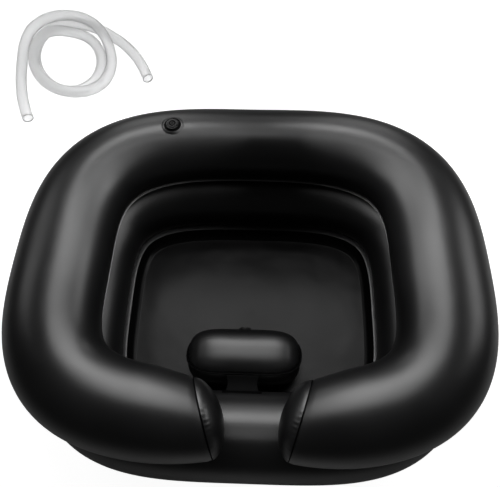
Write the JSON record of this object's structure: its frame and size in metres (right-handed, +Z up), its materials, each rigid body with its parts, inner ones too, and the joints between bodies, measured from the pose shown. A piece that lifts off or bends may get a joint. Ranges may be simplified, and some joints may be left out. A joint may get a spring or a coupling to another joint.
{
  "type": "portable shampoo basin",
  "caption": "Inflatable hair-washing basin: two stacked air rings round a bowl, a neck gap with a headrest pillow, air valves, a side drain and a loose clear hose.",
  "frame": {"origin": "on the ground under the middle of the basin, without the loose hose", "axes": "+Z up, +X to the right of a user who faces the neck gap, -Y out of the neck gap"},
  "size_m": [0.7864, 0.8631, 0.2089],
  "materials": {
    "skin": "satin",
    "seam": "satin",
    "valve": "satin",
    "hose": "clear, soft gloss"
  },
  "bodies": {
    "basin": {"lower_ring": "skin", "upper_ring": "skin", "end_cap_left": "skin", "end_cap_right": "skin", "chamber_strip": "seam", "upper_seam": "seam", "floor_seam": "seam", "floor_sheet": "skin", "pillow_tab": "seam", "drain_duct": "valve", "drain_inlet": "valve", "drain_spout": "valve", "upper_valve_seat": "valve", "lower_valve_seat": "valve", "hose_coil": "hose", "hose_tail_left": "hose", "hose_tail_right": "hose"},
    "headrest": {"pillow": "skin", "pillow_seam": "seam", "pillow_valve_seat": "valve"},
    "drain_plug": {"drain_stopper": "valve"},
    "upper_stem": {"upper_valve_stem": "valve"},
    "upper_plug": {"upper_valve_stopper": "valve"},
    "lower_stem": {"lower_valve_stem": "valve"},
    "lower_plug": {"lower_valve_stopper": "valve"},
    "pillow_stem": {"pillow_valve_stem": "valve"},
    "pillow_plug": {"pillow_valve_stopper": "valve"}
  },
  "joints": [
    {"name": "pillow_tilt", "type": "hinge", "parent": "basin", "child": "headrest", "pos_m": [-0.007, -0.1194, 0.0682], "axis": [1, 0, 0], "range_deg": [0, 40]},
    {"name": "drain_stopper_hinge", "type": "hinge", "parent": "basin", "child": "drain_plug", "pos_m": [0.17722, -0.0972, 0.04], "axis": [0, 0, -1], "range_deg": [0, 110]},
    {"name": "upper_stem_slide", "type": "slide", "parent": "basin", "child": "upper_stem", "axis": [0, 0, 1], "range_m": [0, 0.009]},
    {"name": "upper_stopper_hinge", "type": "hinge", "parent": "upper_stem", "child": "upper_plug", "pos_m": [-0.10597, 0.19698, 0.20541], "axis": [0, 1, 0], "range_deg": [0, 110]},
    {"name": "lower_stem_slide", "type": "slide", "parent": "basin", "child": "lower_stem", "axis": [0, 1, 0], "range_m": [0, 0.009]},
    {"name": "lower_stopper_hinge", "type": "hinge", "parent": "lower_stem", "child": "lower_plug", "pos_m": [0, 0.2477, 0.0589], "axis": [1, 0, 0], "range_deg": [0, 110]},
    {"name": "pillow_stem_slide", "type": "slide", "parent": "headrest", "child": "pillow_stem", "axis": [0, 0.9799, 0.1996], "range_m": [0, 0.009]},
    {"name": "pillow_stopper_hinge", "type": "hinge", "parent": "pillow_stem", "child": "pillow_plug", "pos_m": [0.0007, -0.04732, 0.05119], "axis": [0, 0.1996, -0.9799], "range_deg": [0, 110]}
  ]
}
